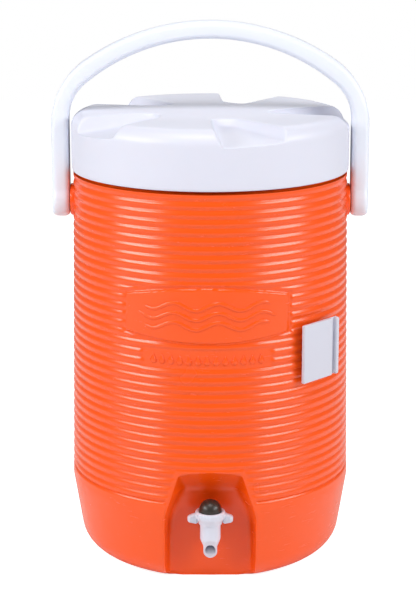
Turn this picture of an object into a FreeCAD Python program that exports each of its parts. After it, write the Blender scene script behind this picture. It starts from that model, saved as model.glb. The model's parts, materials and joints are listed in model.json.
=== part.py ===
import FreeCAD, Part
import math
import os

# Insulated drinking-water dispenser. Millimetres, +Z up, the spigot faces -Y.
# The origin is the centre of the base, on the surface that it stands on.

# --- body shell ---
CLOSED_GAP = 0.3          # gap between bodies that rest on each other
WALL = 2.6                # thinnest wall of the ribbed shell
TOP_R = 140.0             # rib crowns at the top of the body
BELLY_R = 145.2           # rib crowns at the bottom of the ribbed stretch
BODY_TOP_Z = 400.0
BELLY_Z = 79.0            # the smooth skirt of the body starts below this
FOOT_R = 132.6            # where the skirt's wall line meets the floor
EDGE_R = 29.0             # rounding of the base edge
BASE_RECESS_R = 88.0      # the middle of the base is raised off the floor
BASE_RECESS_DEPTH = 2.0
FLOOR_WALL = 3.0
RIB_PITCH = 8.684
RIB_DEPTH = 1.15
RIB_FIRST_Z = 93.7        # crown of the lowest rib
RIB_COUNT = 36
NECK_R = 134.0
NECK_WALL = 3.0
NECK_TOP_Z = 424.0

# --- smooth panels on the ribs ---
PANEL_X = -3.2             # both panels sit a little to one side of the spigot
PANEL_PROUD = 0.35
PANEL_HALF_W = 79.6
PANEL_TOP_CORNER_Z = 298.8
PANEL_TOP_MID_Z = 308.2
PANEL_LOW_CORNER_Z = 261.8
PANEL_LOW_MID_Z = 254.1
STRIP_HALF_W = 62.6
STRIP_Z = (228.0, 246.0)

# --- scoop around the spigot ---
SCOOP_FLOOR_Y = -108.0
SCOOP_FRONT_Y = -150.0
SCOOP_HALF_W = (41.5, 47.8)       # at the floor, at the front
SCOOP_SHOULDER_Z = (64.0, 76.5)
SCOOP_TOP_HALF_W = (27.0, 32.0)
SCOOP_TOP_Z = (96.0, 127.0)

# --- tank ---
TANK_R_TOP = 108.0
TANK_R_LOW = 100.0
TANK_FLOOR_Z = 42.0
TANK_WALL = 3.0
TANK_EDGE_R = 8.0
RIM_FLANGE = 3.0

# --- bail and its pivots ---
PIVOT_Z = 369.5
STUD_R = 6.0
STUD_CLEARANCE = 0.06
STUD_TIP_X = 129.0
BOSS_R = 16.5
BOSS_X = (125.5, 143.4)
BAIL_INNER_HALF = 143.8
BAIL_OUTER_HALF = 161.6
BAIL_INNER_TOP_Z = 534.4
BAIL_OUTER_TOP_Z = 551.7
BAIL_INNER_CROWN_R = 198.2
BAIL_OUTER_CROWN_R = 223.7
BAIL_INNER_CORNER_R = 50.0
BAIL_OUTER_CORNER_R = 79.1
BAIL_HALF_WIDTH = 14.0
BAIL_ROUND = 5.0
EYE_R = 17.5

# --- lid ---
LID_R = 141.5
LID_WALL = 3.0
LID_LOW_Z = 403.3
LID_TOP_Z = 461.3
LID_SHOULDER_R = 15.0
RECESS_COUNT = 5
RECESS_A = (-0.8, -58.0)           # inner corners of the first recess, in plan
RECESS_B = (27.3, -58.0)
RECESS_C = (94.2, -145.3)         # where its sides pass out through the rim
RECESS_D = (9.5, -167.3)
RECESS_INNER_Z = 453.5
RECESS_SLOPE_DEG = 5.6
PLUG_R = 105.0
PLUG_Z = 410.0
LINER_WALL = 2.5
LINER_RING_Z = 430.0
SEAL_R = (110.0, 130.0)

# --- spigot ---
TAP_Y = -130.0            # the valve's upright axis
SHANK_Z = 56.6            # the shank's level axis
SHANK_R = 7.9
SHANK_BORE_R = 5.0
SHANK_END_Y = -82.0
TAP_FLANGE_R = 10.2
TAP_FLANGE = 2.5
GASKET = 2.0
INNER_PAD_Y = -97.0
INNER_PAD_R = 17.0
INNER_RING_R = 12.5
INNER_GASKET = 2.5
WASHER = 1.5
NUT = 8.0
NUT_FLATS = 24.0
CHAMBER_R = 10.25
CHAMBER_BORE_R = 7.4
CHAMBER_Z = (48.4, 65.0)
COLLAR_R = 9.4
COLLAR_TOP_Z = 69.5
SEAT_Z = (47.0, 49.5)
SEAT_HOLE_R = 4.2
SPOUT_R = 6.95
SPOUT_SHOULDER_Z = 40.6
SPOUT_BORE_R = 4.7
SPOUT_TIP_Z = 24.8
SPOUT_FRONT_Z = 45.0      # top of the slanting mouth, at the front
BONNET_LOW_Z = 64.6
BONNET_TOP_Z = 78.0
BONNET_LOW_R = 11.8
BONNET_R = 15.0
BONNET_FLARE_Z = (67.0, 71.5)
BONNET_FLOOR_TOP_Z = 72.0
WING_HALF_SPAN = 22.8
WING_HALF_THICK = 3.8
WING_Z = (64.8, 74.0)
BUTTON_R = 11.35
BUTTON_CLEARANCE = 0.08
BUTTON_TRAVEL = 3.0
BUTTON_DOME_Z = 78.5
BUTTON_HOLLOW_R = 9.3
BUTTON_HUB_R = 4.0
BUTTON_HUB_Z = 80.0
STEM_R = 1.8
STEM_CLEARANCE = 0.08
STEM_Z = (41.6, 86.0)
VALVE_R = 5.0
VALVE_Z = (44.0, 46.7)
CLIP_R = 3.2
CLIP_Z = (42.2, 43.9)
O_RING_R = 1.0
O_RING_Z = 70.6
O_RING_POCKET_R = 4.0
SPRING_R = 6.2
SPRING_WIRE_R = 0.5
SPRING_Z = (72.7, 84.3)
SPRING_TURNS = 5
SPRING_WIRE_SIDES = 8

# --- cup dispenser bracket ---
BRACKET_ANGLE = 47.5      # round the body, from the front towards +X
BRACKET_Z = (207.0, 266.0)
BRACKET_HALF_W = 26.5
BRACKET_FACE = 150.0      # distance of its front face from the body's axis
BRACKET_THICK = 4.0
GROOVE_U = (18.0, 21.2)
GROOVE_FLOOR = 1.2
LIP_PROUD = 1.2
PEG_Z_INSET = 13.0
PEG_R = 3.5
PEG_PAD_R = 6.0
PEG_TIP = 136.5


def vec(x, y, z):
    return FreeCAD.Vector(x, y, z)


UP = vec(0, 0, 1)
ORIGIN = vec(0, 0, 0)


def crown_r(z):
    """Radius of the ribs' crowns at height z."""
    return TOP_R + (BELLY_R - TOP_R) * (BODY_TOP_Z - z) / (BODY_TOP_Z - BELLY_Z)


def line(a, b):
    return Part.LineSegment(vec(a[0], 0, a[1]), vec(b[0], 0, b[1])).toShape()


def arc(a, m, b):
    return Part.Arc(vec(a[0], 0, a[1]), vec(m[0], 0, m[1]), vec(b[0], 0, b[1])).toShape()


def turned(edges):
    """A solid of revolution about Z from a closed outline of (radius, height) edges."""
    face = Part.Face(Part.Wire(edges))
    return face.revolve(ORIGIN, UP, 360)


def turned_outline(points):
    closed = points + points[:1]
    return turned([line(a, b) for a, b in zip(closed, closed[1:])])


def tube(r_in, r_out, low, high):
    outer = Part.makeCylinder(r_out, high - low, vec(0, 0, low))
    return outer.cut(Part.makeCylinder(r_in, high - low, vec(0, 0, low)))


def rod_y(r, y_low, y_high, x=0.0, z=0.0):
    return Part.makeCylinder(r, y_high - y_low, vec(x, y_low, z), vec(0, 1, 0))


def rod_x(r, x_low, x_high, z):
    return Part.makeCylinder(r, x_high - x_low, vec(x_low, 0, z), vec(1, 0, 0))


def base_edge(inset):
    """The base edge's arc, moved inwards by inset: floor end, middle and wall end."""
    lean = math.atan2(BELLY_R - FOOT_R, BELLY_Z)
    centre_r = FOOT_R + EDGE_R * math.tan(lean) - EDGE_R / math.cos(lean)
    r = EDGE_R - inset
    points = []
    for angle in (-math.pi / 2, -(math.pi / 2 + lean) / 2, -lean):
        points.append((centre_r + r * math.cos(angle), EDGE_R + r * math.sin(angle)))
    return points


def rib_edges():
    """The ribs' outline, from the lowest valley up to the top edge of the body."""
    edges = []
    half = RIB_PITCH / 2
    for k in range(RIB_COUNT):
        crown_z = RIB_FIRST_Z + k * RIB_PITCH
        low = (crown_r(crown_z - half) - RIB_DEPTH, crown_z - half)
        crown = (crown_r(crown_z), crown_z)
        high = (crown_r(crown_z + half) - RIB_DEPTH, crown_z + half)
        if k == RIB_COUNT - 1:
            high = (crown[0] - RIB_DEPTH, BODY_TOP_Z)
            edges.append(line(low, crown))
            edges.append(line(crown, high))
        else:
            edges.append(arc(low, crown, high))
    return edges


def shell_envelope():
    """The outside of the body, as a solid: base, smooth skirt, ribs and neck."""
    floor_end, middle, wall_end = base_edge(0)
    valley_z = RIB_FIRST_Z - RIB_PITCH / 2
    skirt_top = (crown_r(valley_z - 1.2), valley_z - 1.2)
    belly = (BELLY_R, BELLY_Z)
    low_valley = (crown_r(valley_z) - RIB_DEPTH, valley_z)
    last_r = crown_r(RIB_FIRST_Z + (RIB_COUNT - 1) * RIB_PITCH) - RIB_DEPTH
    raised = BASE_RECESS_DEPTH
    edges = [
        line((0, raised), (BASE_RECESS_R, raised)),
        line((BASE_RECESS_R, raised), (BASE_RECESS_R + raised, 0)),
        line((BASE_RECESS_R + raised, 0), floor_end),
        arc(floor_end, middle, wall_end),
        line(wall_end, belly),
        line(belly, skirt_top),
        line(skirt_top, low_valley),
    ]
    edges += rib_edges()
    edges += [
        line((last_r, BODY_TOP_Z), (NECK_R, BODY_TOP_Z)),
        line((NECK_R, BODY_TOP_Z), (NECK_R, NECK_TOP_Z)),
        line((NECK_R, NECK_TOP_Z), (0, NECK_TOP_Z)),
        line((0, NECK_TOP_Z), (0, raised)),
    ]
    return turned(edges)


def foam_envelope():
    """The space inside the shell's walls, before the scoop and bosses are taken out."""
    floor_z = BASE_RECESS_DEPTH + FLOOR_WALL
    floor_end, middle, wall_end = base_edge(FLOOR_WALL)
    inner_top_z = BODY_TOP_Z - FLOOR_WALL
    belly = (BELLY_R - RIB_DEPTH - WALL, BELLY_Z)
    shoulder = (crown_r(inner_top_z) - RIB_DEPTH - WALL, inner_top_z)
    neck_r = NECK_R - NECK_WALL
    step = (floor_end[0], floor_end[1])
    edges = [
        line((0, floor_z), (BASE_RECESS_R, floor_z)),
        line((BASE_RECESS_R, floor_z), step),
        arc(step, middle, wall_end),
        line(wall_end, belly),
        line(belly, shoulder),
        line(shoulder, (neck_r, inner_top_z)),
        line((neck_r, inner_top_z), (neck_r, NECK_TOP_Z)),
        line((neck_r, NECK_TOP_Z), (0, NECK_TOP_Z)),
        line((0, NECK_TOP_Z), (0, floor_z)),
    ]
    return turned(edges)


def scoop(grow):
    """The space in front of the spigot, grown outwards by grow for the wall behind it."""
    wires = []
    for i, y in ((0, SCOOP_FLOOR_Y + grow), (1, SCOOP_FRONT_Y)):
        side = SCOOP_HALF_W[i] + grow
        top = SCOOP_TOP_HALF_W[i] + grow * 0.7
        shoulder = SCOOP_SHOULDER_Z[i] + grow * 0.3
        roof = SCOOP_TOP_Z[i] + grow
        outline = [
            (-side, -10.0),
            (side, -10.0),
            (side, shoulder),
            (top, roof),
            (-top, roof),
            (-side, shoulder),
            (-side, -10.0),
        ]
        wires.append(Part.makePolygon([vec(x, y, z) for x, z in outline]))
    return Part.makeLoft(wires, True, True)


def panel_outline(half, top_mid, top_corner, low_mid, low_corner):
    """A panel's outline in front of the body, with its long edges as arcs."""
    front = -BELLY_R - 20.0
    left_top = vec(-half, front, top_corner)
    right_top = vec(half, front, top_corner)
    right_low = vec(half, front, low_corner)
    left_low = vec(-half, front, low_corner)
    edges = [
        Part.Arc(left_top, vec(0, front, top_mid), right_top).toShape(),
        Part.LineSegment(right_top, right_low).toShape(),
        Part.Arc(right_low, vec(0, front, low_mid), left_low).toShape(),
        Part.LineSegment(left_low, left_top).toShape(),
    ]
    prism = Part.Face(Part.Wire(edges)).extrude(vec(0, BELLY_R, 0))
    prism.translate(vec(PANEL_X, 0, 0))
    return prism


def smooth_panel(prism, proud):
    """A smooth skin over the ribs, where the prism crosses them."""
    low = (crown_r(BELLY_Z) + proud, BELLY_Z)
    high = (crown_r(BODY_TOP_Z) + proud, BODY_TOP_Z)
    under = RIB_DEPTH + proud + 0.5
    skin = turned_outline([
        (low[0] - under, low[1]),
        low,
        high,
        (high[0] - under, high[1]),
    ])
    return skin.common(prism)


def bosses(solid_to_x):
    """The two round bosses that carry the bail, from inside the wall outwards."""
    low, high = solid_to_x
    right = rod_x(BOSS_R, low, high, PIVOT_Z)
    left = rod_x(BOSS_R, -high, -low, PIVOT_Z)
    return right.fuse(left)


def stud_holes():
    r = STUD_R + STUD_CLEARANCE
    right = rod_x(r, STUD_TIP_X - 1.0, BOSS_X[1] + 1.0, PIVOT_Z)
    left = rod_x(r, -BOSS_X[1] - 1.0, -STUD_TIP_X + 1.0, PIVOT_Z)
    return right.fuse(left)


def at_bracket(shape):
    """Puts a shape that is built with its face towards -Y at the bracket's place."""
    placed = shape.copy()
    placed.rotate(ORIGIN, UP, BRACKET_ANGLE)
    return placed


def bracket_pegs():
    middle = (BRACKET_Z[0] + BRACKET_Z[1]) / 2
    half = (BRACKET_Z[1] - BRACKET_Z[0]) / 2 - PEG_Z_INSET
    back = BRACKET_FACE - BRACKET_THICK
    pegs = []
    for z in (middle - half, middle + half):
        pegs.append(rod_y(PEG_R, -back, -PEG_TIP, 0.0, z))
    return at_bracket(pegs[0].fuse(pegs[1]))


def outer_shell():
    panel = panel_outline(
        PANEL_HALF_W, PANEL_TOP_MID_Z, PANEL_TOP_CORNER_Z, PANEL_LOW_MID_Z, PANEL_LOW_CORNER_Z
    )
    strip = panel_outline(STRIP_HALF_W, STRIP_Z[1], STRIP_Z[1] - 0.4, STRIP_Z[0], STRIP_Z[0] + 0.4)
    shell = shell_envelope()
    shell = shell.fuse(smooth_panel(panel, PANEL_PROUD))
    shell = shell.fuse(smooth_panel(strip, 0.05))
    shell = shell.cut(scoop(0))
    cavity = foam_envelope().cut(scoop(WALL + 0.4))
    shell = shell.cut(cavity)
    shell = shell.fuse(bosses(BOSS_X))
    shell = shell.cut(stud_holes())
    shell = shell.cut(rod_y(SHANK_R, SCOOP_FLOOR_Y - 1.0, SCOOP_FLOOR_Y + 8.0, 0.0, SHANK_Z))
    return shell.cut(bracket_pegs())


def tank_wall_r(z):
    """Inner radius of the tank at height z."""
    share = (z - TANK_FLOOR_Z) / (NECK_TOP_Z - TANK_FLOOR_Z)
    return TANK_R_LOW + (TANK_R_TOP - TANK_R_LOW) * share


def tank_profile(grow, top_z):
    """The tank's inside as a solid, grown by grow for its outside."""
    r = TANK_EDGE_R + grow
    floor = TANK_FLOOR_Z - grow
    corner_z = TANK_FLOOR_Z + TANK_EDGE_R
    centre_r = tank_wall_r(corner_z) - TANK_EDGE_R
    turn = math.sqrt(0.5)
    wall_low = (centre_r + r, corner_z)
    edges = [
        line((0, floor), (centre_r, floor)),
        arc((centre_r, floor), (centre_r + r * turn, corner_z - r * turn), wall_low),
        line(wall_low, (tank_wall_r(top_z) + grow, top_z)),
        line((tank_wall_r(top_z) + grow, top_z), (0, top_z)),
        line((0, top_z), (0, floor)),
    ]
    return turned(edges)


def tap_pad():
    """The flat pad on the tank's wall that the spigot's nut pulls against."""
    return rod_y(INNER_PAD_R, -104.0, INNER_PAD_Y, 0.0, SHANK_Z)


def inner_liner():
    liner = tank_profile(TANK_WALL, NECK_TOP_Z)
    liner = liner.fuse(tap_pad())
    flange = Part.makeCylinder(NECK_R, RIM_FLANGE, vec(0, 0, NECK_TOP_Z))
    liner = liner.fuse(flange)
    inside = tank_profile(0, NECK_TOP_Z)
    inside = inside.cut(tap_pad())
    liner = liner.cut(inside)
    liner = liner.cut(Part.makeCylinder(TANK_R_TOP, RIM_FLANGE, vec(0, 0, NECK_TOP_Z)))
    return liner.cut(rod_y(SHANK_R, -110.0, -90.0, 0.0, SHANK_Z))


def foam_fill():
    foam = foam_envelope().cut(scoop(WALL + 0.4))
    foam = foam.cut(tank_profile(TANK_WALL, NECK_TOP_Z))
    foam = foam.cut(tap_pad())
    foam = foam.cut(bosses(BOSS_X))
    foam = foam.cut(rod_y(SHANK_R, -110.0, -90.0, 0.0, SHANK_Z))
    return foam.cut(bracket_pegs())


def lid_dome(grow):
    """The outside of the lid as a solid, moved inwards by grow."""
    r = LID_R - grow
    top = LID_TOP_Z - grow
    round_r = LID_SHOULDER_R - grow
    centre = (r - round_r, top - round_r)
    turn = math.sqrt(0.5)
    edges = [
        line((0, LID_LOW_Z), (r, LID_LOW_Z)),
        line((r, LID_LOW_Z), (r, centre[1])),
        arc((r, centre[1]), (centre[0] + round_r * turn, centre[1] + round_r * turn),
            (centre[0], top)),
        line((centre[0], top), (0, top)),
        line((0, top), (0, LID_LOW_Z)),
    ]
    return turned(edges)


def finger_recesses(grow):
    """The five recesses, each with a floor that slopes down towards the rim."""
    corners = [vec(x, y, LID_LOW_Z) for x, y in (RECESS_A, RECESS_B, RECESS_C, RECESS_D)]
    face = Part.Face(Part.makePolygon(corners + corners[:1]))
    if grow:
        face = face.makeOffset2D(grow)
    prism = face.extrude(vec(0, 0, LID_TOP_Z - LID_LOW_Z + 20.0))
    below = Part.makeBox(400.0, 400.0, 100.0, vec(-200.0, -300.0, -100.0))
    below.rotate(ORIGIN, vec(1, 0, 0), RECESS_SLOPE_DEG)
    below.translate(vec(0, RECESS_A[1], RECESS_INNER_Z - grow))
    first = prism.cut(below)
    shapes = []
    for k in range(RECESS_COUNT):
        turn = first.copy()
        turn.rotate(ORIGIN, UP, 360.0 / RECESS_COUNT * k)
        shapes.append(turn)
    return shapes


def lid_cover():
    cover = lid_dome(0)
    for recess in finger_recesses(0):
        cover = cover.cut(recess)
    return cover.cut(lid_space(LID_LOW_Z))


def lid_space(low_z):
    """The space inside the lid's cover, above low_z."""
    space = lid_dome(LID_WALL)
    for recess in finger_recesses(LID_WALL):
        space = space.cut(recess)
    below = Part.makeCylinder(LID_R + 1.0, 100.0, vec(0, 0, low_z - 100.0))
    return space.cut(below)


def lid_liner():
    ring_top = LINER_RING_Z + LINER_WALL
    pan_r = PLUG_R - LINER_WALL
    return turned_outline([
        (0, PLUG_Z),
        (PLUG_R, PLUG_Z),
        (PLUG_R, LINER_RING_Z),
        (LID_R - LID_WALL, LINER_RING_Z),
        (LID_R - LID_WALL, ring_top),
        (pan_r, ring_top),
        (pan_r, PLUG_Z + LINER_WALL),
        (0, PLUG_Z + LINER_WALL),
    ])


def lid_foam():
    ring_top = LINER_RING_Z + LINER_WALL
    pan = Part.makeCylinder(PLUG_R - LINER_WALL, ring_top - PLUG_Z - LINER_WALL,
                            vec(0, 0, PLUG_Z + LINER_WALL))
    return lid_space(ring_top).fuse(pan).removeSplitter()


def lid_seal():
    rim_z = NECK_TOP_Z + RIM_FLANGE + CLOSED_GAP
    return tube(SEAL_R[0], SEAL_R[1], rim_z, LINER_RING_Z)


def arch_edges(half, top_z, crown_radius, corner_radius, low_z):
    """One contour of the bail: straight arms, a rounded corner and a crowned top."""
    crown_z = top_z - crown_radius
    corner_x = half - corner_radius
    reach = crown_radius - corner_radius
    corner_z = crown_z + math.sqrt(reach ** 2 - corner_x ** 2)
    join = math.atan2(corner_x, corner_z - crown_z)
    tangent = (crown_radius * math.sin(join), crown_z + crown_radius * math.cos(join))
    middle = (math.pi / 2 + join) / 2
    corner_mid = (
        corner_x + corner_radius * math.sin(middle),
        corner_z + corner_radius * math.cos(middle),
    )
    edges = [line((-half, low_z), (-half, corner_z))]
    edges.append(arc((-half, corner_z), (-corner_mid[0], corner_mid[1]), (-tangent[0], tangent[1])))
    edges.append(arc((-tangent[0], tangent[1]), (0, top_z), tangent))
    edges.append(arc(tangent, corner_mid, (half, corner_z)))
    edges.append(line((half, corner_z), (half, low_z)))
    return edges


def bail_handle():
    outer = arch_edges(BAIL_OUTER_HALF, BAIL_OUTER_TOP_Z, BAIL_OUTER_CROWN_R,
                       BAIL_OUTER_CORNER_R, PIVOT_Z)
    inner = arch_edges(BAIL_INNER_HALF, BAIL_INNER_TOP_Z, BAIL_INNER_CROWN_R,
                       BAIL_INNER_CORNER_R, PIVOT_Z)
    feet = [
        line((-BAIL_OUTER_HALF, PIVOT_Z), (-BAIL_INNER_HALF, PIVOT_Z)),
        line((BAIL_INNER_HALF, PIVOT_Z), (BAIL_OUTER_HALF, PIVOT_Z)),
    ]
    wire = Part.Wire(Part.__sortEdges__(outer + inner + feet))
    face = Part.Face(wire)
    face.translate(vec(0, -BAIL_HALF_WIDTH, 0))
    arch = face.extrude(vec(0, 2 * BAIL_HALF_WIDTH, 0))
    long_edges = []
    for edge in arch.Edges:
        ends = [v.Point for v in edge.Vertexes]
        on_side = all(abs(abs(p.y) - BAIL_HALF_WIDTH) < 0.01 for p in ends)
        along_foot = all(abs(p.z - PIVOT_Z) < 0.01 for p in ends)
        if on_side and not along_foot and abs(ends[0].y - ends[-1].y) < 0.01:
            long_edges.append(edge)
    arch = arch.makeFillet(BAIL_ROUND, long_edges)
    for side in (-1, 1):
        low, high = sorted((side * BAIL_INNER_HALF, side * BAIL_OUTER_HALF))
        arch = arch.fuse(rod_x(EYE_R, low, high, PIVOT_Z))
        low, high = sorted((side * STUD_TIP_X, side * (BAIL_INNER_HALF + 1.0)))
        arch = arch.fuse(rod_x(STUD_R, low, high, PIVOT_Z))
    return arch.removeSplitter()


def cup_bracket():
    back = -(BRACKET_FACE - BRACKET_THICK)
    height = BRACKET_Z[1] - BRACKET_Z[0]
    plate = Part.makeBox(2 * BRACKET_HALF_W, BRACKET_THICK, height,
                         vec(-BRACKET_HALF_W, back - BRACKET_THICK, BRACKET_Z[0]))
    lip_low = GROOVE_U[1]
    lip = Part.makeBox(BRACKET_HALF_W - lip_low, BRACKET_THICK + LIP_PROUD, height,
                       vec(lip_low, back - BRACKET_THICK - LIP_PROUD, BRACKET_Z[0]))
    plate = plate.fuse(lip).removeSplitter()
    groove = Part.makeBox(GROOVE_U[1] - GROOVE_U[0], BRACKET_THICK, height,
                          vec(GROOVE_U[0], back - GROOVE_FLOOR - BRACKET_THICK, BRACKET_Z[0]))
    plate = plate.cut(groove)
    upright = [
        e for e in plate.Edges
        if abs(e.Length - height) < 0.01 and e.Vertexes[0].Point.x > BRACKET_HALF_W - 0.01
        and e.Vertexes[0].Point.y < back - BRACKET_THICK
    ]
    plate = plate.makeFillet(2.5, upright)
    middle = (BRACKET_Z[0] + BRACKET_Z[1]) / 2
    half = height / 2 - PEG_Z_INSET
    for z in (middle - half, middle + half):
        pad = rod_y(PEG_PAD_R, back, -crown_r(z) - 0.1, 0.0, z)
        plate = plate.fuse(pad)
        plate = plate.fuse(rod_y(PEG_R, back, -PEG_TIP, 0.0, z))
    return at_bracket(plate)


def turned_at_tap(points):
    shape = turned_outline(points)
    shape.translate(vec(0, TAP_Y, 0))
    return shape


def faucet_body():
    body = turned_at_tap([
        (0, SPOUT_TIP_Z - 2.0),
        (SPOUT_R, SPOUT_TIP_Z - 2.0),
        (SPOUT_R, SPOUT_SHOULDER_Z),
        (CHAMBER_R, CHAMBER_Z[0]),
        (CHAMBER_R, CHAMBER_Z[1]),
        (COLLAR_R, CHAMBER_Z[1]),
        (COLLAR_R, COLLAR_TOP_Z),
        (0, COLLAR_TOP_Z),
    ])
    flange_y = SCOOP_FLOOR_Y - GASKET
    body = body.fuse(rod_y(SHANK_R, TAP_Y, SHANK_END_Y, 0.0, SHANK_Z))
    body = body.fuse(rod_y(TAP_FLANGE_R, flange_y - TAP_FLANGE, flange_y, 0.0, SHANK_Z))
    body = body.cut(turned_at_tap([
        (0, SPOUT_TIP_Z - 3.0),
        (SPOUT_BORE_R, SPOUT_TIP_Z - 3.0),
        (SPOUT_BORE_R, SPOUT_SHOULDER_Z - 3.6),
        (VALVE_R + 0.6, SPOUT_SHOULDER_Z),
        (VALVE_R + 1.4, SEAT_Z[0]),
        (SEAT_HOLE_R, SEAT_Z[0]),
        (SEAT_HOLE_R, SEAT_Z[1]),
        (CHAMBER_BORE_R, SEAT_Z[1]),
        (CHAMBER_BORE_R, COLLAR_TOP_Z + 1.0),
        (0, COLLAR_TOP_Z + 1.0),
    ]))
    body = body.cut(rod_y(SHANK_BORE_R, TAP_Y, SHANK_END_Y + 1.0, 0.0, SHANK_Z))
    drop = SPOUT_FRONT_Z - SPOUT_TIP_Z
    slope = math.degrees(math.atan2(drop, 2 * SPOUT_R))
    mouth = Part.makeBox(60.0, 80.0, 40.0, vec(-30.0, -40.0, -40.0))
    mouth.rotate(ORIGIN, vec(1, 0, 0), -slope)
    mouth.translate(vec(0, TAP_Y - SPOUT_R, SPOUT_FRONT_Z))
    return body.cut(mouth)


def faucet_bonnet():
    bonnet = turned_at_tap([
        (0, BONNET_LOW_Z),
        (BONNET_LOW_R, BONNET_LOW_Z),
        (BONNET_LOW_R, BONNET_FLARE_Z[0]),
        (BONNET_R, BONNET_FLARE_Z[1]),
        (BONNET_R, BONNET_TOP_Z - 0.8),
        (BONNET_R - 0.8, BONNET_TOP_Z),
        (0, BONNET_TOP_Z),
    ])
    wing_h = WING_Z[1] - WING_Z[0]
    wings = Part.makeBox(2 * WING_HALF_SPAN, 2 * WING_HALF_THICK, wing_h,
                         vec(-WING_HALF_SPAN, TAP_Y - WING_HALF_THICK, WING_Z[0]))
    ends = [e for e in wings.Edges if abs(e.Length - 2 * WING_HALF_THICK) < 0.01]
    wings = wings.makeFillet(wing_h * 0.42, ends)
    bonnet = bonnet.fuse(wings)
    bore = BUTTON_R + BUTTON_CLEARANCE
    inside = turned_at_tap([
        (0, BONNET_LOW_Z - 1.0),
        (COLLAR_R, BONNET_LOW_Z - 1.0),
        (COLLAR_R, COLLAR_TOP_Z),
        (O_RING_POCKET_R, COLLAR_TOP_Z),
        (O_RING_POCKET_R, O_RING_Z + O_RING_R + 0.05),
        (STEM_R + STEM_CLEARANCE, O_RING_Z + O_RING_R + 0.05),
        (STEM_R + STEM_CLEARANCE, BONNET_FLOOR_TOP_Z),
        (bore, BONNET_FLOOR_TOP_Z),
        (bore, BONNET_TOP_Z + 1.0),
        (0, BONNET_TOP_Z + 1.0),
    ])
    bonnet = bonnet.cut(inside)
    chamber = Part.makeCylinder(CHAMBER_R, CHAMBER_Z[1] - CHAMBER_Z[0], vec(0, TAP_Y, CHAMBER_Z[0]))
    return bonnet.cut(chamber)


def push_button():
    skirt_low = BONNET_FLOOR_TOP_Z + BUTTON_TRAVEL + CLOSED_GAP
    turn = math.sqrt(0.5)
    outer = turned([
        line((0, skirt_low), (BUTTON_R, skirt_low)),
        line((BUTTON_R, skirt_low), (BUTTON_R, BUTTON_DOME_Z)),
        arc((BUTTON_R, BUTTON_DOME_Z), (BUTTON_R * turn, BUTTON_DOME_Z + BUTTON_R * turn),
            (0, BUTTON_DOME_Z + BUTTON_R)),
        line((0, BUTTON_DOME_Z + BUTTON_R), (0, skirt_low)),
    ])
    r = BUTTON_HOLLOW_R
    hollow = turned([
        line((0, skirt_low - 1.0), (r, skirt_low - 1.0)),
        line((r, skirt_low - 1.0), (r, BUTTON_DOME_Z)),
        arc((r, BUTTON_DOME_Z), (r * turn, BUTTON_DOME_Z + r * turn), (0, BUTTON_DOME_Z + r)),
        line((0, BUTTON_DOME_Z + r), (0, skirt_low - 1.0)),
    ])
    button = outer.cut(hollow)
    hub = Part.makeCylinder(BUTTON_HUB_R, BUTTON_DOME_Z + r + 0.5 - BUTTON_HUB_Z,
                            vec(0, 0, BUTTON_HUB_Z))
    button = button.fuse(hub)
    button = button.cut(Part.makeCylinder(STEM_R, STEM_Z[1] - STEM_Z[0], vec(0, 0, STEM_Z[0])))
    button.translate(vec(0, TAP_Y, 0))
    return button


def valve_stem():
    return Part.makeCylinder(STEM_R, STEM_Z[1] - STEM_Z[0], vec(0, TAP_Y, STEM_Z[0]))


def on_stem(r, z_range):
    ring = tube(STEM_R, r, z_range[0], z_range[1])
    ring.translate(vec(0, TAP_Y, 0))
    return ring


def stem_seal():
    middle = STEM_R + STEM_CLEARANCE + O_RING_R
    ring = Part.makeTorus(middle, O_RING_R)
    ring.translate(vec(0, TAP_Y, O_RING_Z))
    return ring


def return_spring():
    height = SPRING_Z[1] - SPRING_Z[0] - 2 * SPRING_WIRE_R
    low = SPRING_Z[0] + SPRING_WIRE_R
    helix = Part.makeHelix(height / SPRING_TURNS, height, SPRING_R)
    section = []
    for k in range(SPRING_WIRE_SIDES + 1):
        angle = 2 * math.pi * k / SPRING_WIRE_SIDES
        section.append(vec(SPRING_R + SPRING_WIRE_R * math.cos(angle), 0,
                           SPRING_WIRE_R * math.sin(angle)))
    coil = Part.Wire(helix).makePipeShell([Part.makePolygon(section)], True, True)
    coil.translate(vec(0, TAP_Y, low))
    return coil


def outer_gasket():
    ring = rod_y(TAP_FLANGE_R, SCOOP_FLOOR_Y - GASKET, SCOOP_FLOOR_Y, 0.0, SHANK_Z)
    return ring.cut(rod_y(SHANK_R, SCOOP_FLOOR_Y - GASKET, SCOOP_FLOOR_Y, 0.0, SHANK_Z))


def shank_ring(r, y_low, thickness):
    ring = rod_y(r, y_low, y_low + thickness, 0.0, SHANK_Z)
    return ring.cut(rod_y(SHANK_R, y_low, y_low + thickness, 0.0, SHANK_Z))


def lock_nut():
    low = INNER_PAD_Y + INNER_GASKET + WASHER
    corner_r = NUT_FLATS / math.sqrt(3)
    corners = []
    for k in range(7):
        angle = math.radians(60 * k)
        corners.append(vec(corner_r * math.cos(angle), low, SHANK_Z + corner_r * math.sin(angle)))
    prism = Part.Face(Part.makePolygon(corners)).extrude(vec(0, NUT, 0))
    return prism.cut(rod_y(SHANK_R, low, low + NUT, 0.0, SHANK_Z))


def write(name, shape):
    solids = shape.Solids
    if len(solids) != 1 or not shape.isValid():
        raise ValueError(f"{name}: {len(solids)} solids, valid {shape.isValid()}")
    solids[0].exportStep(f"parts/{name}.step")


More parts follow.
